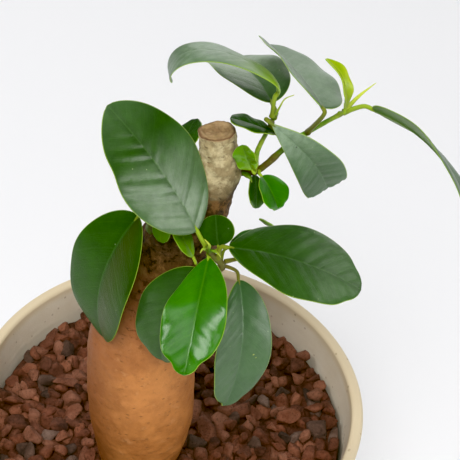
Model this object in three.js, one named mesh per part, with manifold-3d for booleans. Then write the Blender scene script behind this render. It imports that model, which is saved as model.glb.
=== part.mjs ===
// Ginseng ficus in a plain tapered pot: a swollen trunk with a cut top, three leafy shoots, a stone mulch.
// Millimetres, +Z up. The origin is the centre of the pot's flat foot.
import * as THREE from "three";
import { mergeVertices } from "three/addons/utils/BufferGeometryUtils.js";
import Module from "manifold-3d";

const wasm = await Module();
wasm.setup();

// Driving dimensions
const potRimRadius = 75;
const potFootRadius = 62;
const potHeight = 135;
const potWall = 4.5;
const potFloor = 6;
const rimRound = 1.5;
const potSides = 48;
const seatGap = 0.3; // between two pieces that touch
const soilTop = 112;
const mulchTop = 117.5; // the flat bed that the stones are sunk into
const stoneCount = 105;
const stoneRadius = 6.8;
const stoneLift = [-0.5, 1.5]; // a stone's middle above the bed
const stoneSize = [0.8, 1.2]; // shares of the stone radius
const stoneLong = 1.1;
const stoneBroad = [0.75, 1.05];
const stoneHigh = 0.75;
const stoneCorner = [0.85, 1.15]; // how far in or out a corner lies
const trunkSides = 24;
const trunkOval = { share: 0.02, waves: 2, turn: 0.7 }; // turn is in radians from one station to the next
const trunkRibs = { share: 0.015, waves: 5, turn: -0.4 };
const bladeThickness = 0.65;
const bladeCup = 0.08; // how far the halves curl back down, as a share of half the width
const bladeEnd = 0.6; // least half-width, at the stalk and at the tip
const broadBlade = { steps: 8, strips: [-1, -0.5, 0, 0.5, 1] };
const smallBlade = { steps: 5, strips: [-1, 0, 1] };
const smallLength = 20; // blades shorter than this are small
const stalkRadius = 0.75;
const slimStalk = 0.75; // share of the radius on a narrow blade
const slimWidth = 14; // blades narrower than this are narrow
const stalkTaper = 0.3;
const stalkReach = 0.12; // how far the stalk runs on under the midrib, as a share of the blade
const stalkBow = 1 / 3; // how far a stalk swings out before the blade, as a share of its length
const hookReach = 0.07; // share of a hooked blade over which it turns back on its stalk
const stalkSteps = 5;
const stalkSides = 5;
const twigSides = 8;

const goldenAngle = Math.PI * (3 - Math.sqrt(5));
const weldDistance = 1e-4;

// The trunk's axis and its radius, from the root end in the soil to the cut top
const trunkStations = [
  { at: [-9, -19, 86], radius: 7 },
  { at: [-9, -19, 92], radius: 11 },
  { at: [-9, -19, 106], radius: 13 },
  { at: [-9, -19, 118], radius: 13.5 },
  { at: [-9, -19, 129], radius: 15.7 },
  { at: [-8.5, -19.5, 140], radius: 17.8 },
  { at: [-8.5, -19.5, 151], radius: 19 },
  { at: [-8.5, -20, 167], radius: 19.3 },
  { at: [-9, -20, 186], radius: 18.5 },
  { at: [-8.5, -20, 200], radius: 16.6 },
  { at: [-6, -20, 211], radius: 14.2 },
  { at: [-2, -20, 224], radius: 12.6 },
  { at: [3.5, -20, 236], radius: 11.4 },
  { at: [7.5, -20, 244], radius: 9.4 },
  { at: [10.2, -20, 251], radius: 7.6 },
  { at: [12.1, -20, 258], radius: 6.6 },
  { at: [12.4, -19.5, 265], radius: 6.2 },
  { at: [12.2, -19, 271], radius: 5.9 },
  { at: [11.6, -19, 278], radius: 5.5 },
];

// Twigs of each shoot: points along the axis, from inside what carries it, and the radius at both ends
const lowerTwigs = [
  {
    points: [[4, -24, 226], [12, -31, 231], [16.5, -35, 238], [12.5, -36, 244], [11.5, -38, 248]],
    radii: [1.8, 1],
  },
  { points: [[12, -37.4, 246.5], [12.2, -38.8, 249.5], [10.6, -39, 252]], radii: [0.8, 0.4] },
  { points: [[12.4, -36.6, 245.5], [14.6, -38, 246], [16, -38.5, 244.6]], radii: [0.7, 0.4] },
];
const leftTwigs = [
  { points: [[2, -21, 236], [-7, -24.5, 241], [-3, -26, 251], [-0.8, -16, 257.5]], radii: [1.6, 1] },
  { points: [[-2.4, -24.5, 252], [-1, -22, 261], [1.4, -22.1, 269]], radii: [1, 0.7] },
];
const rightTwigs = [
  {
    points: [[15, -19.2, 261], [20.4, -19, 262.8], [24.6, -20, 264.7], [32.6, -19, 274], [37, -18, 278],
      [48.4, -17, 287.2]],
    radii: [1.4, 0.8],
  },
  {
    points: [[24.2, -20, 264.8], [24.1, -19.5, 271.4], [26.1, -19, 278], [27.8, -19, 283.5],
      [29.4, -19, 288.5], [30.7, -18, 290.8], [33.3, -17, 291.8]],
    radii: [1, 0.4],
  },
  { points: [[48.2, -17, 287], [52, -15.5, 292], [56.7, -14, 296.5]], radii: [0.8, 0.35] },
];

// Leaves: where the stalk starts in its twig, where the blade starts, and how the blade lies.
// heading and rise aim the midrib where it starts, roll turns the blade about it, droop and sway
// bend it along its length and fold lifts its halves, all in degrees. taper sets how full the
// outline is at the stalk and at the tip. cut shortens the blade to that share, and tear moves the
// corners of its torn end along it. bend above 1 keeps the droop towards the tip, and hook droops
// the blade by that angle right at its start. bow is how far the stalk swings out before the blade, as
// a share of its own length, and grip how far it runs on under the blade, as a share of the blade's.
const leaves = [
  {
    name: "lower_leaf_up", shoot: "lower", from: [11.6, -36.4, 245.6], base: [8.2, -36.1, 252.3],
    heading: 178, rise: 66, roll: -41, length: 50, width: 28.5, droop: 21, sway: -8, fold: 2,
    taper: [0.65, 0.66],
  },
  {
    name: "lower_leaf_front", shoot: "lower", from: [12.3, -35.8, 243.2], base: [12.3, -36.5, 242.4],
    heading: 264, rise: -9, roll: 23, length: 40, width: 22, droop: 19, sway: 8, fold: 11,
    taper: [0.86, 0.62],
  },
  {
    name: "lower_leaf_front_left", shoot: "lower", from: [14, -35.2, 241], base: [9, -35.5, 236.5],
    heading: 207, rise: -49, roll: -27, length: 36, width: 22.5, droop: 29, sway: -32, fold: 17,
    taper: [0.73, 0.52],
  },
  {
    name: "lower_leaf_front_right", shoot: "lower", from: [16, -34.5, 238], base: [22, -35.5, 233],
    heading: 298, rise: -55, roll: -9, length: 45, width: 22, droop: 35, sway: 17, fold: 14,
    taper: [0.65, 0.55],
  },
  {
    name: "lower_leaf_right", shoot: "lower", from: [15, -35.6, 241], base: [17.9, -35.6, 246.3],
    heading: -1, rise: 2, roll: 8, length: 43.5, width: 28, droop: 27, sway: 13, fold: 4,
    taper: [0.74, 0.57],
  },
  {
    name: "lower_leaf_inner", shoot: "lower", from: [12.8, -35.8, 243.6], base: [14.8, -33.4, 244.7],
    heading: 120, rise: 70, roll: -30, length: 9.8, width: 11.4, droop: 20, sway: 0, fold: 11,
    taper: [0.5, 0.5],
  },
  {
    name: "lower_leaf_behind", shoot: "lower", from: [16, -34.6, 238.5], base: [18.3, -30.5, 241.8],
    heading: 28, rise: 22, roll: 20, length: 10.5, width: 5, droop: 10, sway: 0, fold: 10,
    taper: [0.6, 0.55],
  },
  {
    name: "lower_leaf_far", shoot: "lower", from: [17.2, -34.1, 238.9], base: [33.4, -20.5, 241.2],
    heading: 152, rise: 17, roll: 70, length: 7.5, width: 2.6, droop: 8, sway: 0, fold: 8,
    taper: [0.6, 0.6],
  },
  {
    name: "trunk_leaf_small", shoot: "trunk", from: [6, -27, 236.5], base: [7.3, -34.4, 240],
    heading: 166, rise: 66, roll: -7, length: 12.5, width: 7.8, droop: 20, sway: 0, fold: 11,
    taper: [0.68, 0.48],
  },
  {
    name: "left_leaf_hanging", shoot: "left", from: [-5, -25.8, 247.5], base: [-10.3, -27.7, 249],
    heading: 209, rise: -47, roll: -18, length: 53, width: 29, droop: 57, sway: -18, fold: 12,
    taper: [0.58, 0.6],
  },
  {
    name: "left_leaf_small", shoot: "left", from: [-2.8, -25.8, 251], base: [-2, -27.6, 251.2],
    heading: 245, rise: -62, roll: 3, length: 10.5, width: 6.8, droop: 24, sway: 0, fold: 12,
    taper: [0.6, 0.5],
  },
  {
    name: "left_leaf_back", shoot: "left", from: [-0.8, -16.5, 257.3], base: [0, -10, 258.5],
    heading: 80, rise: 21, roll: -28, length: 17, width: 10.5, droop: 15, sway: 0, fold: 9,
    taper: [0.55, 0.55],
  },
  {
    name: "left_leaf_tiny", shoot: "left", from: [1.2, -22.1, 267.5], base: [2.4, -22, 270.2],
    heading: -12, rise: 37, roll: 60, length: 4.2, width: 3, droop: 15, sway: 0, fold: 10,
    taper: [0.55, 0.5],
  },
  {
    name: "right_leaf_small", shoot: "right", from: [24.2, -20, 267], base: [23.1, -24.2, 268.2],
    heading: 190, rise: 62, roll: -110, length: 9, width: 8, droop: 30, sway: 0, fold: 24,
    taper: [0.6, 0.45],
  },
  {
    name: "right_leaf_round", shoot: "right", from: [25.4, -20, 265.4], base: [26, -22.8, 265],
    heading: 319, rise: -27, roll: -10, length: 11.5, width: 13, droop: 30, sway: 3, fold: 18,
    taper: [0.65, 0.48],
  },
  {
    name: "right_leaf_narrow", shoot: "right", from: [24, -19.8, 264.4], base: [24, -18.6, 261.8],
    heading: 287, rise: -32, roll: -26, length: 10.5, width: 7, droop: 25, sway: 0, fold: 12,
    taper: [0.6, 0.5],
  },
  {
    name: "upper_leaf_short", shoot: "right", from: [27.2, -19, 281.6], base: [29, -21, 280],
    heading: 180, rise: 24, roll: 6, length: 14.5, width: 8.5, droop: 15, sway: 3, fold: 8,
    taper: [0.68, 0.42],
  },
  {
    name: "upper_leaf_torn", shoot: "right", from: [27.4, -19, 282.5], base: [27.2, -24, 286],
    heading: 10, rise: -43, roll: 86, length: 52, width: 15.6, droop: 31, sway: 25, fold: 10,
    taper: [0.86, 0.36], bend: 0.8, cut: 0.86, tear: [-0.8, 0.2, 0, -0.8, -2.6],
  },
  {
    name: "upper_leaf_arched", shoot: "right", from: [27.4, -19.4, 285], base: [28.2, -19.4, 293.3],
    heading: 210, rise: 132, roll: -27, length: 45, width: 18.3, droop: 138, sway: 32, fold: 0,
    taper: [0.5, 0.42], bend: 3, hook: 102, bow: 0.1, grip: 0.03,
  },
  {
    name: "upper_leaf_back", shoot: "right", from: [28, -18.8, 284.4], base: [27.3, -8.2, 281.8],
    heading: 113, rise: 13, roll: 3, length: 35, width: 24, droop: 50, sway: -18, fold: 17,
    taper: [0.55, 0.56],
  },
  {
    name: "upper_leaf_far", shoot: "right", from: [38.5, -18, 279.3], base: [41.6, -24.4, 293.2],
    heading: 109, rise: 3, roll: 32, length: 38, width: 25, droop: 15, sway: -8, fold: 20,
    taper: [0.42, 0.42], bend: 0.7, cut: 0.92, tear: [0, 1.4, 3, 2.4, 0.4], bow: 0.1,
  },
  {
    name: "upper_leaf_right", shoot: "right", from: [48.2, -16.9, 287], base: [56.5, -19, 290.5],
    heading: 322, rise: 9, roll: -50, length: 51, width: 21.5, droop: 64, sway: -25, fold: 8,
    taper: [0.55, 0.6], bend: 1.3,
  },
  {
    name: "upper_leaf_young", shoot: "right", from: [47.2, -17.1, 286.6], base: [48.4, -19, 290],
    heading: 180, rise: 90, roll: -30, length: 17.8, width: 5.4, droop: 84, sway: 0, fold: 30,
    taper: [0.6, 0.7], bend: 1.6,
  },
];

// Repeatable spread of values from 0 to 1
function scatter(index, salt) {
  const indexStride = 12.9898;
  const saltStride = 78.233;
  const waveHeight = 43758.5453;
  const wave = Math.sin(index * indexStride + salt * saltStride) * waveHeight;
  return wave - Math.floor(wave);
}

function between([low, high], share) {
  return THREE.MathUtils.lerp(low, high, share);
}

function solidFrom(positions, indices) {
  const geometry = new THREE.BufferGeometry();
  geometry.setAttribute("position", new THREE.Float32BufferAttribute(positions, 3));
  geometry.setIndex(indices);
  const merged = mergeVertices(geometry, weldDistance);
  return new wasm.Manifold(
    new wasm.Mesh({
      numProp: 3,
      vertProperties: merged.attributes.position.array,
      triVerts: new Uint32Array(merged.index.array),
    }),
  );
}

function geometryFrom(solid) {
  const mesh = solid.getMesh();
  const geometry = new THREE.BufferGeometry();
  geometry.setAttribute("position", new THREE.Float32BufferAttribute(mesh.vertProperties, 3));
  geometry.setIndex(Array.from(mesh.triVerts));
  geometry.computeVertexNormals();
  return geometry;
}

function largestBody(solid) {
  const bodies = solid.decompose();
  return bodies.reduce((largest, body) => (body.volume() > largest.volume() ? body : largest));
}

// Closed solid over rings of equally many points, each end closed by a fan to the ring's middle.
// The points run anticlockwise seen from the last ring.
function loft(rings) {
  const positions = rings.flat().flatMap((point) => point.toArray());
  const sides = rings[0].length;
  const indices = [];
  for (let ring = 0; ring + 1 < rings.length; ring += 1) {
    for (let side = 0; side < sides; side += 1) {
      const next = (side + 1) % sides;
      const low = ring * sides;
      const high = low + sides;
      indices.push(low + side, low + next, high + next, low + side, high + next, high + side);
    }
  }
  for (const [ring, turn] of [[0, -1], [rings.length - 1, 1]]) {
    const middle = positions.length / 3;
    const centre = new THREE.Vector3();
    rings[ring].forEach((point) => centre.addScaledVector(point, 1 / sides));
    positions.push(...centre.toArray());
    for (let side = 0; side < sides; side += 1) {
      const here = ring * sides + side;
      const next = ring * sides + ((side + 1) % sides);
      indices.push(middle, turn > 0 ? here : next, turn > 0 ? next : here);
    }
  }
  return solidFrom(positions, indices);
}

// Solid of revolution about Z over profile points [radius, height]
function revolved(profile, sides) {
  return loft(
    profile.map(([radius, height]) =>
      Array.from({ length: sides }, (_, side) => {
        const angle = (side / sides) * 2 * Math.PI;
        return new THREE.Vector3(radius * Math.cos(angle), radius * Math.sin(angle), height);
      }),
    ),
  );
}

// Round solid along a smooth curve; radiusAt takes the share of the length
function limb(points, steps, sides, radiusAt) {
  const curve = new THREE.CatmullRomCurve3(points, false, "centripetal");
  const frames = curve.computeFrenetFrames(steps, false);
  const rings = [];
  for (let step = 0; step <= steps; step += 1) {
    const share = step / steps;
    const centre = curve.getPointAt(share);
    const radius = radiusAt(share);
    const ring = Array.from({ length: sides }, (_, side) => {
      const angle = (side / sides) * 2 * Math.PI;
      return centre
        .clone()
        .addScaledVector(frames.normals[step], radius * Math.cos(angle))
        .addScaledVector(frames.binormals[step], radius * Math.sin(angle));
    });
    rings.push(ring);
  }
  return loft(rings);
}

// Radius of the pot's outside at a height
function potOutsideAt(height) {
  return THREE.MathUtils.lerp(potFootRadius, potRimRadius, height / potHeight);
}

function potInsideAt(height) {
  return potOutsideAt(height) - potWall;
}

function potSolid() {
  const rimInside = potRimRadius - potWall;
  const roundMiddle = rimRound * (1 - Math.SQRT1_2);
  return revolved(
    [
      [potFootRadius - rimRound, 0],
      [potOutsideAt(rimRound), rimRound],
      [potOutsideAt(potHeight - rimRound), potHeight - rimRound],
      [potRimRadius - roundMiddle, potHeight - roundMiddle],
      [potRimRadius - rimRound, potHeight],
      [rimInside + rimRound, potHeight],
      [rimInside + roundMiddle, potHeight - roundMiddle],
      [potInsideAt(potHeight - rimRound), potHeight - rimRound],
      [potInsideAt(potFloor), potFloor],
    ],
    potSides,
  );
}

// What fills the pot between two heights, clear of its wall
function filling(low, high) {
  return revolved(
    [
      [potInsideAt(low) - seatGap, low],
      [potInsideAt(high) - seatGap, high],
    ],
    potSides,
  );
}

// Share that a wave round the trunk adds to its radius
function trunkWave({ share, waves, turn }, angle, station) {
  return share * Math.sin(waves * angle + turn * station);
}

// Trunk, or the same form with its surface moved out by clearance
function trunkSolid(clearance) {
  const rings = trunkStations.map(({ at, radius }, index) => {
    const before = trunkStations[Math.max(index - 1, 0)].at;
    const after = trunkStations[Math.min(index + 1, trunkStations.length - 1)].at;
    const rise = new THREE.Vector3(...after).sub(new THREE.Vector3(...before)).normalize();
    const centre = new THREE.Vector3(...at);
    if (index === 0) centre.addScaledVector(rise, -clearance);
    if (index === trunkStations.length - 1) centre.addScaledVector(rise, clearance);
    const across = new THREE.Vector3(0, 1, 0).cross(rise).normalize();
    const along = rise.clone().cross(across);
    return Array.from({ length: trunkSides }, (_, side) => {
      const angle = (side / trunkSides) * 2 * Math.PI;
      const swell = 1 + trunkWave(trunkOval, angle, index) + trunkWave(trunkRibs, angle, index);
      const reach = radius * swell + clearance;
      return centre
        .clone()
        .addScaledVector(across, reach * Math.cos(angle))
        .addScaledVector(along, reach * Math.sin(angle));
    });
  });
  return loft(rings);
}

// Angular stone about a centre
function stone(index, centre) {
  const positions = new THREE.IcosahedronGeometry(1, 0);
  positions.deleteAttribute("normal");
  positions.deleteAttribute("uv");
  const rock = mergeVertices(positions, weldDistance);
  const corners = rock.attributes.position;
  const turn = new THREE.Euler(...[1, 2, 3].map((salt) => scatter(index, salt) * 2 * Math.PI));
  const size = stoneRadius * between(stoneSize, scatter(index, 4));
  const stretch = new THREE.Vector3(stoneLong, between(stoneBroad, scatter(index, 5)), stoneHigh);
  stretch.multiplyScalar(size);
  const upright = new THREE.Vector3(0, 0, 1);
  const corner = new THREE.Vector3();
  for (let vertex = 0; vertex < corners.count; vertex += 1) {
    const bump = between(stoneCorner, scatter(index * corners.count + vertex, 6));
    corner.fromBufferAttribute(corners, vertex).multiplyScalar(bump).applyEuler(turn);
    corner.multiply(stretch).applyAxisAngle(upright, turn.z).add(centre);
    corners.setXYZ(vertex, corner.x, corner.y, corner.z);
  }
  return solidFrom(corners.array, Array.from(rock.index.array));
}

// Bed of mulch with stones sunk into it all over, on a spiral that spaces them evenly
function mulchSolid(trunkRoom) {
  const stones = [];
  const spread = potInsideAt(mulchTop) - stoneRadius / 2;
  for (let index = 0; index < stoneCount; index += 1) {
    const reach = spread * Math.sqrt((index + 0.5) / stoneCount);
    const angle = index * goldenAngle;
    const height = mulchTop + between(stoneLift, scatter(index, 7));
    const centre = new THREE.Vector3(reach * Math.cos(angle), reach * Math.sin(angle), height);
    stones.push(stone(index, centre));
  }
  const bed = wasm.Manifold.union([filling(soilTop + seatGap, mulchTop), ...stones]);
  const room = filling(soilTop + seatGap, potHeight);
  return largestBody(bed.intersect(room).subtract(trunkRoom));
}

// Axes at a blade's base: along the midrib, out of its upper face, and across it
function bladeAxes(leaf) {
  const heading = THREE.MathUtils.degToRad(leaf.heading);
  const rise = THREE.MathUtils.degToRad(leaf.rise);
  const roll = THREE.MathUtils.degToRad(leaf.roll);
  const along = new THREE.Vector3(
    Math.cos(rise) * Math.cos(heading),
    Math.cos(rise) * Math.sin(heading),
    Math.sin(rise),
  );
  const up = new THREE.Vector3(
    -Math.sin(rise) * Math.cos(heading),
    -Math.sin(rise) * Math.sin(heading),
    Math.cos(rise),
  );
  up.applyAxisAngle(along, roll);
  return { along, up, across: along.clone().cross(up) };
}

// Midrib points with the blade's axes there
function midrib(leaf, steps) {
  const axes = bladeAxes(leaf);
  const turned = (from, towards, angle) =>
    from.clone().multiplyScalar(Math.cos(angle)).addScaledVector(towards, Math.sin(angle));
  const axesAt = (share) => {
    const hooked = (leaf.hook ?? 0) * (1 - Math.exp(-share / hookReach));
    const droop = THREE.MathUtils.degToRad(leaf.droop * share ** (leaf.bend ?? 1) + hooked);
    const sway = THREE.MathUtils.degToRad(leaf.sway) * share;
    const up = turned(axes.up, axes.along, droop);
    const along = turned(turned(axes.along, axes.up, -droop), axes.across, sway);
    return { along, up, across: along.clone().cross(up) };
  };
  const stations = [];
  const point = new THREE.Vector3(...leaf.base);
  const stretches = 8;
  const stretch = (leaf.length * (leaf.cut ?? 1)) / (steps * stretches);
  for (let step = 0; step <= steps; step += 1) {
    stations.push({ share: step / steps, point: point.clone(), ...axesAt(step / steps) });
    for (let part = 0; part < stretches; part += 1) {
      const share = (step + (part + 0.5) / stretches) / steps;
      point.addScaledVector(axesAt(share).along, stretch);
    }
  }
  return stations;
}

// Half the blade's width at a share of its length
function halfWidth(leaf, share) {
  const [start, end] = leaf.taper;
  const widest = start / (start + end);
  const reach = share * (leaf.cut ?? 1);
  return (leaf.width / 2) * (reach / widest) ** start * ((1 - reach) / (1 - widest)) ** end;
}

// Thin blade: two faces of equal triangles, joined round the edge
function bladeSolid(leaf) {
  const { steps, strips } = leaf.length < smallLength ? smallBlade : broadBlade;
  const lift = Math.sin(THREE.MathUtils.degToRad(leaf.fold));
  const flat = Math.cos(THREE.MathUtils.degToRad(leaf.fold));
  const positions = [];
  for (const { share, point, along, up, across } of midrib(leaf, steps)) {
    const half = Math.max(halfWidth(leaf, share), bladeEnd);
    for (const face of [0.5, -0.5]) {
      strips.forEach((side, column) => {
        const height = half * (Math.abs(side) * lift - bladeCup * side * side) + face * bladeThickness;
        const tear = share === 1 && leaf.tear ? leaf.tear[column] : 0;
        const corner = point.clone().addScaledVector(across, side * half * flat);
        corner.addScaledVector(up, height).addScaledVector(along, tear);
        positions.push(...corner.toArray());
      });
    }
  }
  const row = strips.length;
  const last = row - 1;
  const indices = [];
  const upper = (station, side) => station * 2 * row + side;
  const lower = (station, side) => (station * 2 + 1) * row + side;
  const quad = (a, b, c, d) => indices.push(a, c, b, a, d, c);
  for (let here = 0; here < steps; here += 1) {
    const ahead = here + 1;
    for (let side = 0; side < last; side += 1) {
      const beside = side + 1;
      if (side < last / 2) {
        quad(upper(here, beside), upper(here, side), upper(ahead, side), upper(ahead, beside));
        quad(lower(ahead, side), lower(here, side), lower(here, beside), lower(ahead, beside));
      } else {
        quad(upper(here, side), upper(ahead, side), upper(ahead, beside), upper(here, beside));
        quad(lower(here, side), lower(here, beside), lower(ahead, beside), lower(ahead, side));
      }
    }
    quad(upper(here, 0), lower(here, 0), lower(ahead, 0), upper(ahead, 0));
    quad(lower(here, last), upper(here, last), upper(ahead, last), lower(ahead, last));
  }
  for (let side = 0; side < last; side += 1) {
    const beside = side + 1;
    quad(lower(0, side), upper(0, side), upper(0, beside), lower(0, beside));
    quad(upper(steps, side), lower(steps, side), lower(steps, beside), upper(steps, beside));
  }
  return solidFrom(positions, indices);
}

// Stalk from the twig into the blade, where it ends in the midrib
function stalkSolid(leaf) {
  const { along } = bladeAxes(leaf);
  const from = new THREE.Vector3(...leaf.from);
  const base = new THREE.Vector3(...leaf.base);
  const bow = from.distanceTo(base) * (leaf.bow ?? stalkBow);
  const points = [
    from,
    base.clone().addScaledVector(along, -bow),
    base,
    base.clone().addScaledVector(along, leaf.length * (leaf.grip ?? stalkReach)),
  ];
  const radius = leaf.width < slimWidth ? stalkRadius * slimStalk : stalkRadius;
  return limb(points, stalkSteps, stalkSides, (share) => radius * (1 - stalkTaper * share));
}

function leafSolid(leaf, carrierRoom) {
  const whole = wasm.Manifold.union([bladeSolid(leaf), stalkSolid(leaf)]);
  return largestBody(whole.subtract(carrierRoom));
}

// Twigs of one shoot, or the same form with its surface moved out by clearance
function shootSolid(twigs, clearance) {
  const limbs = twigs.map(({ points, radii }) => {
    const along = points.map((point) => new THREE.Vector3(...point));
    const end = along.at(-1);
    const outward = end.clone().sub(along.at(-2)).normalize();
    end.addScaledVector(outward, clearance);
    return limb(along, 2 * points.length, twigSides, (share) => between(radii, share) + clearance);
  });
  return wasm.Manifold.union(limbs);
}

const colours = {
  pot: { color: 0xe4dcc8, roughness: 0.55, metalness: 0 },
  soil: { color: 0x2a1d15, roughness: 1, metalness: 0 },
  mulch: { color: 0x5f3a2f, roughness: 0.95, metalness: 0 },
  bark: { color: 0x9a6236, roughness: 0.8, metalness: 0 },
  twig: { color: 0x6b7a2a, roughness: 0.6, metalness: 0 },
  leaf: { color: 0x2f6d1c, roughness: 0.35, metalness: 0 },
  youngLeaf: { color: 0xb9cc3a, roughness: 0.4, metalness: 0 },
};

const plant = new THREE.Group();

function place(name, solid, colour) {
  const mesh = new THREE.Mesh(geometryFrom(solid), new THREE.MeshStandardMaterial(colours[colour]));
  mesh.name = name;
  plant.add(mesh);
}

const trunk = trunkSolid(0);
const trunkRoom = trunkSolid(seatGap);
const twigsOf = { lower: lowerTwigs, left: leftTwigs, right: rightTwigs };

place("pot", potSolid(), "pot");
place("potting_soil", filling(potFloor + seatGap, soilTop).subtract(trunkRoom), "soil");
place("stone_mulch", mulchSolid(trunkRoom), "mulch");
place("trunk", trunk, "bark");
for (const [name, twigs] of Object.entries(twigsOf)) {
  place(`${name}_shoot`, largestBody(shootSolid(twigs, 0).subtract(trunkRoom)), "twig");
}
for (const leaf of leaves) {
  const room = leaf.shoot === "trunk" ? trunkRoom : shootSolid(twigsOf[leaf.shoot], seatGap);
  place(leaf.name, leafSolid(leaf, room), leaf.name.endsWith("young") ? "youngLeaf" : "leaf");
}

export default plant;
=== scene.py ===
import random
from math import cos, hypot, pi, radians, sin, sqrt, tan

import bmesh
import bpy
import numpy as np
from mathutils import Euler, Matrix, Vector, noise
from numpy.linalg import norm


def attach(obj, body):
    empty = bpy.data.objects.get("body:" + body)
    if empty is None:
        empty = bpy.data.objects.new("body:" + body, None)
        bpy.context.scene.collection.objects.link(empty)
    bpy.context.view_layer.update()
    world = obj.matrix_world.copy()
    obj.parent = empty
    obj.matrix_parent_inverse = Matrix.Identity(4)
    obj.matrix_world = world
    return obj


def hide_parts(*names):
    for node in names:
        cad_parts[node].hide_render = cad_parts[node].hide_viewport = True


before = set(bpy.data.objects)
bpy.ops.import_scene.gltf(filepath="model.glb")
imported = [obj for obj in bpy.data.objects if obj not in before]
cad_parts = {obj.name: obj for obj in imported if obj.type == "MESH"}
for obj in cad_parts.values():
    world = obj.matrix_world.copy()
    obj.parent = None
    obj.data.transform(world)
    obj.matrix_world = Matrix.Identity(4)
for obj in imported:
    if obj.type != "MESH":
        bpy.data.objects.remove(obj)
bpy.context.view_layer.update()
mm = 0.001  # pieces are laid out in millimetres, materials in metres
print("frame loaded:", len(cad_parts), "nodes")

# colours and shader nodes


def tone(red, green, blue):  # a colour as a screen shows it, 0 to 255, for a shader socket
    parts = [channel / 255 for channel in (red, green, blue)]
    return tuple(c / 12.92 if c <= 0.04045 else ((c + 0.055) / 1.055) ** 2.4 for c in parts) + (1,)


def feed(sockets, values):  # links each socket to another one, or sets its value
    for key, value in values.items():
        if isinstance(value, bpy.types.NodeSocket):
            value.id_data.links.new(value, sockets[key])
        else:
            sockets[key].default_value = value


def node(kind, inputs, **props):  # made in the node tree of its first linked input
    tree = next(value.id_data for value in inputs.values() if isinstance(value, bpy.types.NodeSocket))
    made = tree.nodes.new("ShaderNode" + kind)
    for prop, value in props.items():
        setattr(made, prop, value)
    feed(made.inputs, inputs)
    return made.outputs


def maths(operation, *values):
    return node("Math", dict(enumerate(values)), operation=operation)[0]


def scaled(value, factor, shift):  # value x factor + shift
    return maths("MULTIPLY_ADD", value, factor, shift)


def times(*values):
    product = values[0]
    for value in values[1:]:
        product = maths("MULTIPLY", product, value)
    return product


def fade(value, low, high, start=0.0, end=1.0):  # smooth step, falling where low is over high
    inputs = {"Value": value, "From Min": low, "From Max": high, "To Min": start, "To Max": end}
    return node("MapRange", inputs, interpolation_type="SMOOTHSTEP", clamp=True)["Result"]


def laid(base, colour, *masks):  # the colour over the base, as far as all the masks allow
    inputs = {0: times(*masks), 6: base, 7: colour}
    return node("Mix", inputs, data_type="RGBA", clamp_factor=True)[2]


def layered(base, tones, *layers):  # each layer is a colour, or the label of a tone, and its masks
    for colour, *masks in layers:
        base = laid(base, tones[colour] if isinstance(colour, str) else colour, *masks)
    return base


def ramp(value, *stops):  # stops are (place, colour)
    made = value.id_data.nodes.new("ShaderNodeValToRGB")
    feed(made.inputs, {"Fac": value})
    elements = made.color_ramp.elements
    while len(elements) < len(stops):
        elements.new(0.5)
    for element, (place, colour) in zip(elements, stops):
        element.position = place
        element.color = colour
    return made.outputs["Color"]


def noiseAt(place, scale, detail=4.0, roughness=0.55, distortion=0.0):
    inputs = {"Vector": place, "Scale": scale, "Detail": detail, "Roughness": roughness,
              "Distortion": distortion}
    return node("TexNoise", inputs)["Fac"]


def axisOf(place, axis):
    return node("SeparateXYZ", {"Vector": place})[axis]


def painted(place, label):  # a value kept on the mesh's points
    made = place.id_data.nodes.new("ShaderNodeAttribute")
    made.attribute_name = label
    return made.outputs["Fac"]


def newMaterial(label):  # also gives the place on the piece
    material = bpy.data.materials.new(label)
    material.use_nodes = True
    return material, material.node_tree.nodes.new("ShaderNodeTexCoord").outputs["Object"]


def dressed(material, colour, rough, bump=(), more=()):  # bump is height, strength and distance
    look = {"Base Color": colour, "Roughness": rough, **dict(more)}
    if bump:
        inputs = dict(zip(("Height", "Strength", "Distance"), bump))
        look["Normal"] = node("Bump", inputs)["Normal"]
    feed(material.node_tree.nodes["Principled BSDF"].inputs, look)
    return material


def groupOf(label, given, results):  # an input without a value is a place, the rest are plain values
    group = bpy.data.node_groups.new(label, "ShaderNodeTree")
    for title, value in given.items():
        kind = "NodeSocketVector" if value is None else "NodeSocketFloat"
        socket = group.interface.new_socket(title, in_out="INPUT", socket_type=kind)
        if value is not None:
            socket.default_value = value
    for title in results:
        group.interface.new_socket(title, in_out="OUTPUT", socket_type="NodeSocketFloat")
    return group, group.nodes.new("NodeGroupInput").outputs, group.nodes.new("NodeGroupOutput").inputs


# meshes


def newObject(label, data):
    made = bpy.data.objects.new(label, data)
    bpy.context.scene.collection.objects.link(made)
    return made


def makePiece(label, points, faces, material, nodes, values):  # values are kept on the points
    mesh = bpy.data.meshes.new(label)
    mesh.from_pydata((points * mm).tolist(), [], faces)
    for title, numbers in values.items():
        layer = mesh.attributes.new(title, "FLOAT", "POINT")
        layer.data.foreach_set("value", numbers.astype(np.float32))
    mesh.materials.append(material)
    mesh.shade_smooth()
    piece = newObject(label, mesh)
    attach(piece, "root")
    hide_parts(*nodes)


def bell(distance):  # 1 where the distance is 0, and fading out on both sides
    return np.exp(-distance ** 2)


def ringAngles(sides):
    return np.arange(sides) / sides * 2 * pi


def flatRing(angles, reach, height):
    return np.stack([reach * np.cos(angles), reach * np.sin(angles), np.full_like(angles, height)], axis=1)


def ringFaces(rings, sides, turn=1):  # quads between neighbouring rings and a face over each end
    faces = []
    for low in range(0, (rings - 1) * sides, sides):
        for step in range(sides):
            after = (step + 1) % sides
            face = (low + step, low + after, low + sides + after, low + sides + step)
            faces.append(face if turn > 0 else (face[0], *face[:0:-1]))
    first, last = tuple(range(sides)), tuple(range((rings - 1) * sides, rings * sides))
    return faces + [first[::-turn], last[::turn]]


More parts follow.
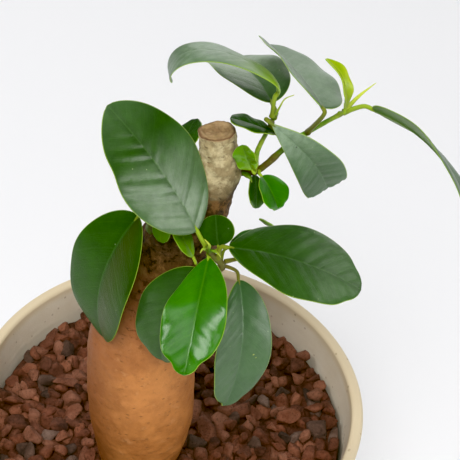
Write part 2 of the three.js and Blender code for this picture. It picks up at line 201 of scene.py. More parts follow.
def smoothLine(control, count):  # evenly spaced points on a smooth curve through the control points
    control = np.asarray(control, float)
    padded = np.vstack([2 * control[0] - control[1], control, 2 * control[-1] - control[-2]])
    dense = []
    for first in range(len(control) - 1):
        p0, p1, p2, p3 = padded[first:first + 4]
        gaps = [max(norm(b - a), 1e-6) ** 0.5 for a, b in ((p0, p1), (p1, p2), (p2, p3))]
        startSlope = (p1 - p0) / gaps[0] - (p2 - p0) / (gaps[0] + gaps[1]) + (p2 - p1) / gaps[1]
        endSlope = (p2 - p1) / gaps[1] - (p3 - p1) / (gaps[1] + gaps[2]) + (p3 - p2) / gaps[2]
        startSlope, endSlope = startSlope * gaps[1], endSlope * gaps[1]
        for share in np.linspace(0, 1, 40, endpoint=first == len(control) - 2):
            square, cube = share ** 2, share ** 3
            dense.append((2 * cube - 3 * square + 1) * p1 + (cube - 2 * square + share) * startSlope
                         + (3 * square - 2 * cube) * p2 + (cube - square) * endSlope)
    dense = np.array(dense)
    run = np.concatenate([[0], np.cumsum(norm(np.diff(dense, axis=0), axis=1))])
    spots = np.linspace(0, run[-1], count)
    return np.stack([np.interp(spots, run, dense[:, axis]) for axis in range(3)], axis=1)


def tube(line, radii, sides):  # closed round solid along a line; also gives each point's share of the length
    tangents = np.gradient(line, axis=0)
    tangents /= norm(tangents, axis=1, keepdims=True)
    side = np.cross(tangents[0], [0.3, 0.2, 0.9])
    points, shares = [], []
    angles = ringAngles(sides)
    for index, (centre, tangent, radius) in enumerate(zip(line, tangents, radii)):
        side = side - tangent * np.dot(side, tangent)
        side /= norm(side)
        other = np.cross(tangent, side)
        points.append(centre + radius * (np.cos(angles)[:, None] * side + np.sin(angles)[:, None] * other))
        shares += [index / (len(line) - 1)] * sides
    points = np.vstack(points + [line[:1], line[-1:]])
    faces = ringFaces(len(line), sides)[:-2]
    bottom, top = len(points) - 2, len(points) - 1
    last = (len(line) - 1) * sides
    for step in range(sides):
        after = (step + 1) % sides
        faces += [(bottom, after, step), (top, last + step, last + after)]
    return points, faces, np.array(shares + [0, 1])


def joined(parts):  # parts are (points, faces, {label: values}); every part has the same labels
    points, faces, values, start = [], [], {}, 0
    for partPoints, partFaces, partValues in parts:
        points.append(partPoints)
        faces += [tuple(corner + start for corner in face) for face in partFaces]
        for label, numbers in partValues.items():
            values.setdefault(label, []).append(numbers)
        start += len(partPoints)
    values = {label: np.concatenate(numbers) for label, numbers in values.items()}
    return np.vstack(points), faces, values


def roughness(points, scale, salt):  # smooth noise from about -1 to 1 at each point
    shift = Vector((salt * 17.3, salt * 5.1, salt * 9.7))
    return np.array([noise.noise(Vector(point) / scale + shift) for point in points])


# effects that several materials share


def makeMottle():  # soft blotches of two sizes
    group, given, out = groupOf("softMottle", {"Place": None, "Scale": 60.0, "Contrast": 0.5}, ["Mask"])
    broad = noiseAt(given["Place"], given["Scale"], 3.0)
    finer = noiseAt(given["Place"], times(given["Scale"], 4.3), 4.0, 0.6)
    both = scaled(finer, 0.4, times(broad, 0.6))
    spread = times(maths("SUBTRACT", 1.0, given["Contrast"]), 0.3)
    low = maths("SUBTRACT", 0.5, spread)
    high = maths("ADD", 0.5, spread)
    feed(out, {"Mask": fade(both, low, high)})
    return group


def makeLeafPattern():  # where the midrib, side veins and margin lie, and how high the surface stands
    group, given, out = groupOf(
        "leafPattern",
        {"Place": None, "Vein Phase": 0.0, "From Midrib": 5.0, "From Edge": 5.0, "Along": 0.5},
        ["Midrib", "Veins", "Margin", "Net", "Height"],
    )
    phase, fromMidrib, fromEdge = given["Vein Phase"], given["From Midrib"], given["From Edge"]
    ribWidth = scaled(given["Along"], -0.35, 0.62)
    midrib = fade(fromMidrib, ribWidth, times(ribWidth, 0.3))
    sharp = fade(maths("PINGPONG", phase, 0.5), 0.07, 0.01)
    inside = fade(fromEdge, 0.6, 2.4)
    veins = times(sharp, inside)
    inputs = {"Vector": given["Place"], "Scale": 1100.0}
    cells = node("TexVoronoi", inputs, feature="DISTANCE_TO_EDGE")["Distance"]
    net = fade(cells, 0.12, 0.0)
    margin = fade(fromEdge, 0.34, 0.08)
    # fine creases run beside the veins
    inputs = {"X": times(phase, 8.0), "Y": times(fromMidrib, 0.35)}
    creases = noiseAt(node("CombineXYZ", inputs)["Vector"], 1.0, 4.0, 0.6)
    height = scaled(midrib, -0.4, times(noiseAt(given["Place"], 2600.0, 2.0), 0.2))
    for part, rise in ((times(creases, inside), 2.2), (veins, -0.2), (net, -0.1)):
        height = scaled(part, rise, height)
    feed(out, {"Midrib": midrib, "Veins": veins, "Margin": margin, "Net": net, "Height": height})
    return group


def makePits():  # small sunk dots, for cork cells, pores and clay specks
    given = {"Place": None, "Scale": 400.0, "Size": 0.25, "Share": 0.3}
    group, given, out = groupOf("smallPits", given, ["Mask"])
    spots = node("TexVoronoi", {"Vector": given["Place"], "Scale": given["Scale"]})
    dot = fade(spots["Distance"], given["Size"], times(given["Size"], 0.4))
    pick = node("SeparateColor", {"Color": spots["Color"]})[0]
    chosen = maths("LESS_THAN", pick, given["Share"])
    feed(out, {"Mask": times(dot, chosen)})
    return group


mottle = makeMottle()
leafPattern = makeLeafPattern()
smallPits = makePits()


def mottled(place, scale, contrast):
    inputs = {"Place": place, "Scale": scale, "Contrast": contrast}
    return node("Group", inputs, node_tree=mottle)["Mask"]


def pitted(place, scale, size, share):
    inputs = {"Place": place, "Scale": scale, "Size": size, "Share": share}
    return node("Group", inputs, node_tree=smallPits)["Mask"]


print("shared effects made")

# the cream pot

pot = {
    "rimRadius": 75.0, "footRadius": 62.0, "height": 135.0, "wall": 4.5, "floor": 6.0, "rimRound": 1.5,
    "sides": 192, "wobble": 0.12,
    "clay": tone(232, 222, 202), "clayDark": tone(218, 205, 180), "rim": tone(214, 196, 162),
    # wall shade is painted shade: a darker band on the inner wall over the stones
    "speck": tone(150, 120, 85), "wallShade": tone(120, 92, 70), "wallShadeLow": 0.1, "wallShadeHigh": 0.119,
}


def potPaint():
    material, place = newMaterial("creamStoneware")
    height = axisOf(place, "Z")
    patches = mottled(place, 28.0, 0.2)
    specks = pitted(place, 420.0, 0.3, 0.12)
    # the bare rim is warmer, with an uneven lower edge
    top = maths("ADD", height, times(noiseAt(place, 40.0, 3.0), 0.0035))
    brim = pot["height"] * mm
    bareRim = times(fade(top, brim - 0.0035, brim + 0.0002), scaled(patches, -0.25, 1.0))
    # painted shade: a darker, uneven band on the inner wall just over the stones, where the clay is inside the
    # outer face
    radial = node("VectorMath", {0: place, 1: (1, 1, 0)}, operation="MULTIPLY")[0]
    reach = node("VectorMath", {0: radial}, operation="LENGTH")["Value"]
    slope = (pot["rimRadius"] - pot["footRadius"]) / pot["height"]
    depth = maths("SUBTRACT", scaled(height, slope, pot["footRadius"] * mm), reach)
    over = fade(top, pot["wallShadeLow"], pot["wallShadeLow"] + 0.004)
    below = fade(top, pot["wallShadeHigh"], pot["wallShadeHigh"] - 0.007)
    uneven = scaled(patches, 0.4, 0.3)
    body = layered(pot["clay"], pot, ("clayDark", patches), ("rim", bareRim), ("speck", specks, 0.5),
                   ("wallShade", over, below, fade(depth, 0.002, 0.003), uneven))
    # throwing lines round the pot and a fine clay grain
    inputs = {"Vector": place, "Scale": 90.0, "Distortion": 1.2, "Detail": 2.0}
    lines = node("TexWave", inputs, bands_direction="Z")["Fac"]
    bumps = scaled(lines, 0.35, times(noiseAt(place, 1400.0, 3.0), 0.5))
    bumps = scaled(specks, -0.6, bumps)
    rough = scaled(patches, 0.12, scaled(bareRim, 0.2, 0.42))
    return dressed(material, body, rough, (bumps, 0.25, 0.0003))


def buildPot():
    foot, floor, wall, corner = pot["footRadius"], pot["floor"], pot["wall"], pot["rimRound"]
    high = pot["height"] - corner

    def outside(height):
        return foot + (pot["rimRadius"] - foot) * height / pot["height"]

    def arc(first, last, count):
        return [(cos(turn), sin(turn)) for turn in np.linspace(first, last, count)]

    profile = [(0.02, 0), (foot * 0.5, 0), (foot - corner * 1.6, 0)]
    profile += [(foot - corner + corner * sine * 1.02, corner * (1 - cosine))
                for cosine, sine in arc(0, pi / 2, 6)]
    profile += [(outside(height), height) for height in np.linspace(corner * 1.6, high, 40)]
    profile += [(outside(high) - corner + corner * cosine, high + corner * sine)
                for cosine, sine in arc(0.15, pi / 2, 7)]
    profile += [(outside(high) - wall + corner + corner * cosine, high + corner * sine)
                for cosine, sine in arc(pi / 2, pi, 8)]
    profile += [(outside(height) - wall, height) for height in np.linspace(high - 2, floor + 3, 24)]
    profile += [(outside(floor) - wall - 2.5, floor), (20, floor), (0.02, floor)]
    angles = ringAngles(pot["sides"])
    rings = []
    for radius, height in profile:  # each ring is slightly out of round, as on a thrown pot
        wobble = pot["wobble"] * (np.sin(2 * angles + height / 40) + 0.6 * np.sin(5 * angles - height / 25))
        reach = radius + wobble * min(1, radius / 60)
        rings.append(flatRing(angles, reach, height))
    faces = ringFaces(len(rings), pot["sides"])
    makePiece("potShell", np.vstack(rings), faces, potPaint(), ["pot"], {})


buildPot()
print("pot built")

# the soil keeps its solid and gets a finer look

soil = {"dark": tone(38, 27, 20), "light": tone(88, 64, 46)}


def soilPaint():
    material, place = newMaterial("pottingSoil")
    crumbs = mottled(place, 260.0, 0.4)
    return dressed(material, laid(soil["dark"], soil["light"], crumbs), 0.95, (crumbs, 0.8, 0.0012))


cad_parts["potting_soil"].data.materials.clear()
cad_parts["potting_soil"].data.materials.append(soilPaint())
print("soil painted")

# crushed stone over the soil

mulch = {
    "seed": 41, "radius": 67.3, "low": 113.0, "grit": 117.2, "high": 124.0,
    "trunk": (-9.0, -19.0, 15.1),  # x, y and radius that the stones keep clear
    "tries": 9000, "broken": 8, "bedRings": 60, "bedSides": 160,
    "layers": [
        {"label": "stonesBelow", "spacing": 4.7, "height": (116.6, 118.2), "size": (3.0, 4.6), "rounds": 2},
        {"label": "stonesAbove", "spacing": 5.6, "height": (118.4, 120.4), "size": (2.5, 4.4), "rounds": 3},
    ],
    "reds": [tone(60, 31, 23), tone(114, 65, 47), tone(156, 101, 76)],
    "greys": [tone(44, 31, 28), tone(92, 68, 58), tone(128, 104, 92)],
    "pore": tone(26, 15, 12),
}


def stonePaint():
    material, place = newMaterial("crushedLava")
    patches = mottled(place, 210.0, 0.3)
    shade = scaled(patches, 0.45, times(painted(place, "stoneTone"), 0.6))
    reds = ramp(shade, *zip((0.1, 0.5, 1.0), mulch["reds"]))
    greys = ramp(shade, *zip((0.1, 0.55, 1.0), mulch["greys"]))
    pores = pitted(place, 1500.0, 0.42, 0.5)
    colour = laid(reds, greys, painted(place, "stoneGrey"))
    colour = laid(colour, mulch["pore"], pores, 0.55)
    bumps = scaled(pores, -0.7, noiseAt(place, 1700.0, 5.0, 0.7))
    return dressed(material, colour, scaled(patches, -0.25, 0.92), (bumps, 0.7, 0.0006))


def stoneForm(rounds):
    sphere = bmesh.new()
    bmesh.ops.create_icosphere(sphere, subdivisions=rounds, radius=1)
    sphere.verts.ensure_lookup_table()
    points = np.array([vert.co[:] for vert in sphere.verts])
    faces = [tuple(vert.index for vert in face.verts) for face in sphere.faces]
    sphere.free()
    return points, faces


def scatterStones(layer, chance):  # stone middles, at least the layer's spacing apart
    places, trunkX, trunkY, trunkRadius = [], *mulch["trunk"]
    for _ in range(mulch["tries"]):
        reach = (mulch["radius"] - 1.5) * sqrt(chance.random())
        angle = chance.random() * 2 * pi
        x, y = reach * cos(angle), reach * sin(angle)
        if hypot(x - trunkX, y - trunkY) < trunkRadius:
            continue
        if all((x - a) ** 2 + (y - b) ** 2 > layer["spacing"] ** 2 for a, b, _ in places):
            places.append((x, y, chance.uniform(*layer["height"])))
    return places


def stoneValues(points, shade, grey):
    return {"stoneTone": np.full(len(points), shade), "stoneGrey": np.full(len(points), grey)}


def buildStones(layer, material, chance):
    form, formFaces = stoneForm(layer["rounds"])
    parts = []
    for x, y, z in scatterStones(layer, chance):
        size = chance.uniform(*layer["size"]) * (1.25 if chance.random() < 0.12 else 1)
        stretch = np.array([chance.uniform(1.0, 1.45), chance.uniform(0.75, 1.0), chance.uniform(0.55, 0.8)])
        points = form.copy()
        for _ in range(mulch["broken"]):  # flat broken faces
            cut = Vector([chance.gauss(0, 1) for _ in range(3)]).normalized()
            over = points @ np.array(cut) - chance.uniform(0.45, 0.75)
            points -= np.outer(np.clip(over, 0, None), cut)
        points *= 1 + 0.08 * roughness(points * 1.3, 0.5, len(parts))[:, None]
        points *= stretch * size
        turn = Euler((chance.gauss(0, 0.45), chance.gauss(0, 0.45), chance.random() * 6.28)).to_matrix()
        points = points @ np.array(turn).T + np.array([x, y, z])
        reach = np.hypot(points[:, 0], points[:, 1])
        inward = np.minimum(1, mulch["radius"] / np.maximum(reach, 1e-6))  # nothing passes the pot's wall
        points[:, :2] *= inward[:, None]
        points[:, 2] = np.clip(points[:, 2], mulch["low"], mulch["high"])
        grey = 1.0 if chance.random() < 0.1 else chance.uniform(0, 0.3)
        parts.append((points, formFaces, stoneValues(points, chance.random(), grey)))
    points, faces, values = joined(parts)
    print(layer["label"], len(parts), "stones,", len(faces), "triangles")
    makePiece(layer["label"], points, faces, material, ["stone_mulch"], values)


def buildBed(material):  # fine crushed grit under the stones
    rings, sides = mulch["bedRings"], mulch["bedSides"]
    levels = [(mulch["grit"], share) for share in np.linspace(0.004, 1, rings)]
    levels += [(mulch["low"], 1.0), (mulch["low"], 0.004)]
    points = np.vstack([flatRing(ringAngles(sides), mulch["radius"] * share, level) for level, share in levels])
    loose = points[:, 2] > mulch["low"]
    bumps = 0.9 * roughness(points, 2.2, 3) + 0.5 * roughness(points, 0.9, 4)
    points[loose, 2] += bumps[loose]
    faces = ringFaces(rings + 2, sides, -1)
    values = stoneValues(points, 0.1, 0.2)
    makePiece("stoneGrit", points, faces, material, ["stone_mulch"], values)


stoneMaterial = stonePaint()
stoneChance = random.Random(mulch["seed"])
buildBed(stoneMaterial)
for stoneLayer in mulch["layers"]:
    buildStones(stoneLayer, stoneMaterial, stoneChance)
print("stones laid")

# the swollen trunk with its sawn top

trunk = {
    "stations": [  # x, y, z and radius
        (-9, -19, 86, 7), (-9, -19, 92, 11), (-9, -19, 106, 13), (-9, -19, 118, 13.5), (-9, -19, 129, 15.7),
        (-8.5, -19.5, 140, 17.8), (-8.5, -19.5, 151, 19), (-8.5, -20, 167, 19.3), (-9, -20, 186, 18.5),
        (-8.5, -20, 200, 16.6), (-6, -20, 211, 14.2), (-2, -20, 224, 12.6), (3.5, -20, 236, 11.4),
        (7.5, -20, 244, 9.4), (10.2, -20, 251, 7.6), (12.1, -20, 258, 6.6), (12.4, -19.5, 265, 6.2),
        (12.2, -19, 271, 5.9), (11.6, -19, 278, 5.5),
    ],
    "rings": 260, "sides": 144, "topRings": 14,
    "collars": [(6.5, -30, 228.5, 4.5, 1.3), (-3.5, -28, 239, 4, 1.0), (18.5, -19.3, 262.3, 3.6, 1.3),
                (6.5, -30.5, 237.5, 2.6, 0.8)],  # x, y, z, spread and height of the swelling round each shoot
    "bulb": tone(200, 132, 72), "bulbDeep": tone(136, 76, 34), "bulbPale": tone(216, 160, 106),
    "shoulder": tone(158, 98, 58), "neck": tone(98, 66, 36), "stem": tone(176, 158, 116),
    "neckPale": tone(122, 88, 50), "neckDark": tone(70, 50, 26), "crack": tone(30, 18, 12),
    "stemPale": tone(222, 208, 164), "stemDark": tone(104, 82, 54), "cut": tone(176, 144, 104),
    "cutEdge": tone(112, 82, 58),
    "cleft": tone(46, 28, 18), "pore": tone(120, 78, 46), "cutPale": tone(190, 160, 122),
    "knotTone": tone(52, 34, 24), "knotSpot": (18.3, -20.5, 273.5), "slopeFrom": 262, "height": 278.6,
}


def barkPaint():
    material, place = newMaterial("ficusBark")
    broad = noiseAt(place, 55.0, 4.0, 0.6)
    fine = noiseAt(place, 300.0, 5.0, 0.65)
    level = scaled(maths("SUBTRACT", broad, 0.5), 0.018, axisOf(place, "Z"))
    inputs = {"Value": level, "From Min": 0.1, "From Max": 0.28}
    share = node("MapRange", inputs)["Result"]
    # up the trunk: orange bulb, pinkish shoulder, dark neck, pale upper stem
    stops = ((0.06, "bulbDeep"), (0.19, "bulb"), (0.48, "bulb"), (0.6, "shoulder"), (0.72, "neck"),
             (0.8, "neckDark"), (0.87, "neckDark"), (0.908, "stem"), (1.0, "stem"))
    onBulb = fade(share, 0.66, 0.5)
    onNeck = times(fade(share, 0.6, 0.72), fade(share, 0.904, 0.862))
    onStem = fade(share, 0.872, 0.906)
    # how far sideways from the bulb's middle, for its painted side shade
    shadedSideReach = maths("ABSOLUTE", maths("ADD", axisOf(place, "X"), 0.0045))
    weathered = mottled(place, 130.0, 0.5)
    lichen = fade(noiseAt(place, 300.0, 5.0, 0.7), 0.44, 0.66)
    flakes = noiseAt(place, 210.0, 6.0, 0.75, 0.6)
    hollows = times(fade(flakes, 0.46, 0.4), onNeck)
    stretched = node("Mapping", {"Vector": place, "Scale": (1.0, 1.0, 1.6)})["Vector"]
    cracks = fade(noiseAt(stretched, 300.0, 6.0, 0.8, 0.8), 0.42, 0.33)
    cracked = scaled(onBulb, -0.55, 0.8)
    pores = pitted(stretched, 420.0, 0.3, 0.25)
    # sawn top: rings round the pith, darker at its edge
    radial = painted(place, "radial")
    rings = maths("PINGPONG", times(scaled(fine, 0.12, radial), 7.0), 0.5)
    sawn = layered(
        trunk["cut"], trunk, ("cutEdge", fade(rings, 0.05, 0.35, 0.12, 0.0)),
        ("cutEdge", fade(weathered, 0.3, 0.8, 0.0, 0.5)), ("cutPale", fade(fine, 0.46, 0.6, 0.0, 0.5)),
        ("cutEdge", fade(scaled(fine, 0.25, radial), 0.95, 1.12)),
    )
    base = layered(
        ramp(share, *[(at, trunk[label]) for at, label in stops]), trunk,
        ("bulbDeep", mottled(place, 75.0, 0.45), onBulb, 0.55),
        ("bulbPale", fade(fine, 0.55, 0.72), onBulb, 0.35),
        # painted shade: the bulb is darkened towards its left and right sides, away from its front
        ("bulbDeep", fade(shadedSideReach, 0.007, 0.022, 0.0, 0.85), onBulb),
        ("stemDark", weathered, onStem, 0.55), ("stemPale", lichen, onStem, 0.65),
        # the neck is flaky: pale scales over near black bark
        ("neckPale", fade(flakes, 0.5, 0.6), onNeck), ("crack", hollows, 0.85),
        ("cleft", cracks, cracked), ("pore", pores, 0.5),
        # the knot is beside the cut
        (sawn, painted(place, "cutFace")), ("knotTone", painted(place, "knot")),
    )
    bumps = scaled(cracks, times(cracked, -1.0), times(fine, 0.5))
    for part, rise in ((pores, -0.4), (hollows, -1.6), (noiseAt(stretched, 1500.0, 4.0), 0.25)):
        bumps = scaled(part, rise, bumps)
    rough = scaled(onBulb, -0.22, scaled(fine, 0.3, 0.62))
    return dressed(material, base, rough, (bumps, 0.6, 0.0007), {"Specular IOR Level": 0.3})


def trunkSkin():  # rings of points up to the cut's edge, and how near each is to the knot
    stations = np.array(trunk["stations"], float)
    steps = np.arange(len(stations))
    run = np.linspace(0, len(stations) - 1, trunk["rings"])
    line = np.stack([np.interp(run, steps, stations[:, axis]) for axis in range(4)], axis=1)
    kernel = np.hanning(17)
    kernel /= kernel.sum()
    padded = np.pad(line, ((8, 8), (0, 0)), mode="reflect", reflect_type="odd")
    line = np.stack([np.convolve(padded[:, axis], kernel, "valid") for axis in range(4)], axis=1)
    rises = np.gradient(line[:, :3], axis=0)
    rises /= norm(rises, axis=1, keepdims=True)
    across = np.cross([0, 1, 0], rises)
    across /= norm(across, axis=1, keepdims=True)
    along = np.cross(rises, across)
    angles = ringAngles(trunk["sides"])
    turned = np.cos(angles)[None, :, None] * across[:, None] + np.sin(angles)[None, :, None] * along[:, None]
    swell = (1 + 0.02 * np.sin(2 * angles[None] + 0.7 * run[:, None])
             + 0.015 * np.sin(5 * angles[None] - 0.4 * run[:, None]))
    reach = line[:, 3][:, None] * swell
    skin = (line[:, None, :3] + turned * reach[..., None]).reshape(-1, 3)
    height = skin[:, 2]
    # dents and flutes on the bulb, wrinkles at the neck, knobs on the stem
    push = 0.55 * roughness(skin, 14, 1) + 0.25 * roughness(skin, 5, 2)
    flat = skin * np.array([1, 1, 3.2])
    onNeck = bell((height - 230) / 22)
    push = push + (0.5 * roughness(flat, 5.5, 5) + 0.25 * roughness(flat, 2.4, 6)) * (0.25 + onNeck)
    onStem = 1 / (1 + np.exp(-(height - 252) / 3))
    push = push + (0.5 * roughness(skin, 3.2, 7) * onStem + 0.18 * roughness(skin, 1.4, 8))
    for x, y, z, spread, rise in trunk["collars"]:
        far = norm(skin - np.array([x, y, z]), axis=1)
        push += rise * bell(far / spread)
    knot = bell(norm(skin - np.array(trunk["knotSpot"]), axis=1) / 1.7)
    push -= 1.1 * knot
    return skin + turned.reshape(-1, 3) * push[:, None], knot


def buildTrunk():
    rings, sides, topRings = trunk["rings"], trunk["sides"], trunk["topRings"]
    skin, knot = trunkSkin()
    edge = skin[-sides:]
    middle = edge.mean(axis=0)
    rows = [skin]
    # the cut is worn hollow, chipped, and slopes gently down at the back
    shares = 1 - np.arange(topRings + 1) / topRings
    for share in shares[1:]:
        circle = middle + (edge - middle) * max(share, 0.02)
        circle[:, 2] += 0.35 * sin(pi * min(1, (1 - share) * 3)) - 0.7 * (1 - share)
        rows.append(circle)
    points = np.vstack(rows)
    onCut, radial = np.zeros(len(points)), np.zeros(len(points))
    onCut[(rings - 1) * sides:] = 1
    radial[(rings - 1) * sides:] = np.repeat(shares, sides)
    chips = 0.25 * roughness(points, 1.1, 9) + 0.2 * roughness(points * [1, 1, 0.2], 2.4, 10)
    points[:, 2] += chips * onCut
    over = np.clip((points[:, 2] - trunk["slopeFrom"]) / 14, 0, 1)
    points[:, 2] -= np.clip(points[:, 1] + 22, 0, None) * 0.05 * over
    points[:, 2] = np.minimum(points[:, 2], trunk["height"])
    knot = np.concatenate([knot, np.zeros(len(points) - len(knot))])
    values = {"cutFace": onCut, "radial": radial, "knot": knot}
    faces = ringFaces(rings + topRings, sides)
    makePiece("ficusTrunk", points, faces, barkPaint(), ["trunk"], values)


buildTrunk()
print("trunk built")

# the three shoots

shoots = {
    "sides": 20, "scar": tone(88, 66, 36), "pore": tone(176, 150, 100),
    "brown": tone(88, 56, 26), "olive": tone(96, 100, 24), "green": tone(84, 138, 14),
    "lime": tone(200, 212, 70),
    # a twig is its points, its radius at either end, its age at even steps, from 0, brown, to 1, lime,
    # the shares of its length where leaves grow, and how much its middle bulges
    "rows": [
        ("lowerShootTwigs", "lower_shoot", [
            ([(4, -24, 226), (12, -31, 231), (16.5, -35, 238), (12.5, -36, 244), (11.5, -38, 248)], (1.8, 0.75),
             (0.12, 0.2, 0.3, 0.4), (0.45, 0.6, 0.74, 0.86), 0),
            ([(12, -37.4, 246.5), (12.2, -38.8, 249.5), (10.6, -39, 252)], (0.6, 0.1), (0.5, 1.0), (), 0.3),
            ([(12.4, -36.6, 245.5), (14.6, -38, 246), (16, -38.5, 244.6)], (0.5, 0.08), (0.4, 1.0), (), 0.3),
            ([(11.4, -37.6, 246.8), (10.2, -38.9, 247.6), (9.6, -39.6, 246.6)], (0.5, 0.08), (0.5, 0.95), (),
             0.3),
        ]),
        ("leftShootTwigs", "left_shoot", [
            ([(2, -21, 236), (-7, -24.5, 241), (-3, -26, 251), (-0.8, -16, 257.5)], (1.6, 0.8), (0.2, 0.7),
             (0.42, 0.55), 0),
            ([(-2.4, -24.5, 252), (-1, -22, 261), (1.4, -22.1, 269)], (0.95, 0.5), (0.5, 0.8), (0.5,), 0),
        ]),
        ("rightShootTwigs", "right_shoot", [
            ([(15, -19.2, 261), (20.4, -19, 262.8), (24.6, -20, 264.7), (32.6, -19, 274), (37, -18, 278),
             (48.4, -17, 287.2)], (1.2, 0.65), (0.1, 0.14, 0.3, 0.56, 0.62, 0.7), (0.22, 0.4, 0.64, 0.97), 0),
            ([(24.2, -20, 264.8), (24.1, -19.5, 271.4), (26.1, -19, 278), (27.8, -19, 283.5),
             (29.4, -19, 288.5), (30.7, -18, 290.8), (33.3, -17, 291.8)], (0.9, 0.12), (0.62, 0.7, 0.62, 0.95),
             (0.56, 0.7), 0.2),
            ([(48.2, -17, 287), (52, -15.5, 292), (56.7, -14, 296.5)], (0.75, 0.1), (0.85, 1.0), (), 0.2),
            ([(20.6, -19.4, 262.9), (22.6, -21.4, 263), (23.4, -22.8, 262.2)], (0.9, 0.15), (0.5, 0.7), (),
             0.5),
        ]),
    ],
}


def twigPaint():
    material, place = newMaterial("greenTwig")
    patches = mottled(place, 330.0, 0.3)
    age = scaled(maths("SUBTRACT", patches, 0.5), 0.22, painted(place, "age"))
    colour = ramp(age, (0.12, shoots["brown"]), (0.34, shoots["olive"]), (0.54, shoots["green"]),
                  (0.95, shoots["lime"]))
    colour = laid(colour, shoots["scar"], painted(place, "scar"), 0.5)
    pores = pitted(place, 1300.0, 0.35, 0.2)
    colour = laid(colour, shoots["pore"], pores, 0.4)
    bumps = scaled(noiseAt(place, 1500.0, 4.0), 0.6, times(pores, 0.5))
    return dressed(material, colour, scaled(age, -0.25, 0.68), (bumps, 0.4, 0.0004))


def twigPart(points, ends, age, knots, bulge):
    count = 12 * len(points)
    line = smoothLine(points, count)
    share = np.linspace(0, 1, count)
    radii = ends[0] + (ends[1] - ends[0]) * share
    radii = radii * (1 + bulge * np.sin(pi * share) ** 2)
    scar = np.zeros(count)
    for knot in knots:  # a swelling and a ring scar under each leaf
        scar = np.maximum(scar, bell((share - knot) / 0.012))
        radii = radii + 0.16 * bell((share - knot) / 0.03)
    radii[-1] *= 0.6
    points, faces, shares = tube(line, radii, shoots["sides"])
    middle = np.stack([np.interp(shares, share, line[:, axis]) for axis in range(3)], axis=1)
    points = middle + (points - middle) * (1 + 0.07 * roughness(points, 1.2, 2))[:, None]
    ages = np.interp(shares, np.linspace(0, 1, len(age)), age)
    return points, faces, {"age": ages, "scar": np.interp(shares, share, scar)}


twigMaterial = twigPaint()
for shootLabel, shootNode, shootTwigs in shoots["rows"]:
    twigPoints, twigFaces, twigValues = joined([twigPart(*twig) for twig in shootTwigs])
    makePiece(shootLabel, twigPoints, twigFaces, twigMaterial, [shootNode], twigValues)
print("shoots built")

# the leaves

leafLooks = {  # deep, light and vein tones; roughness of leaf and coat; strength and tone of the shine
    "deep": (tone(25, 62, 2), tone(43, 87, 8), tone(92, 138, 60), 0.36, 0.26, 0.3, (0.5, 0.85, 0.2, 1)),
    "bright": (tone(32, 98, 0), tone(54, 128, 0), tone(110, 170, 20), 0.3, 0.17, 0.25, (0.5, 1.0, 0.1, 1)),
    # grey: a greyer leaf green, made greyer still as painted reflection of the bright room
    "grey": (tone(34, 74, 24), tone(51, 93, 37), tone(104, 142, 90), 0.45, 0.28, 0.4, (0.8, 1.0, 0.7, 1)),
    "young": (tone(122, 156, 0), tone(190, 204, 20), tone(206, 216, 80), 0.4, 0.3, 0.3, (0.9, 1.0, 0.4, 1)),
}
leafTones = {
    "margin": tone(176, 206, 70), "under": tone(104, 146, 56), "backRib": tone(176, 196, 120),
    "stalkDark": tone(92, 70, 32), "stalkBright": tone(158, 186, 50), "tint": tone(52, 62, 6),
    "glow": tone(146, 186, 14), "spot": tone(196, 200, 90), "darkSpot": tone(34, 28, 20),
    # the bloom tone is a painted sheen, a pale grey-green reflection colour
    "paintedSheen": tone(160, 182, 152), "fleck": tone(170, 190, 130),
}
# what a leaf has unless its row says otherwise
leafUsual = {
    "thickness": 0.5, "cup": 0.08, "hookReach": 0.07, "ribGroove": 0.05, "veinGroove": 0.09, "pillow": 0.09,
    "ribUnder": 0.45, "veinUnder": 0.08, "steps": (84, 36), "smallSteps": (44, 20), "smallLength": 20.0,
    "stalkRadius": 0.78, "slimStalk": 0.75, "slimWidth": 14.0,
    "crease": 1.0, "gloss": 0.5, "paintedSheen": (0, 0, 0, 0), "glow": 0, "pale": 0, "tint": 0, "spots": [],
    "dents": [], "cut": 1, "tear": (0, 0, 0, 0, 0), "ragged": 0, "droopLate": 1, "hook": 0,
    "bow": 1 / 3, "grip": 0.1, "thick": 1, "flare": 0,
}
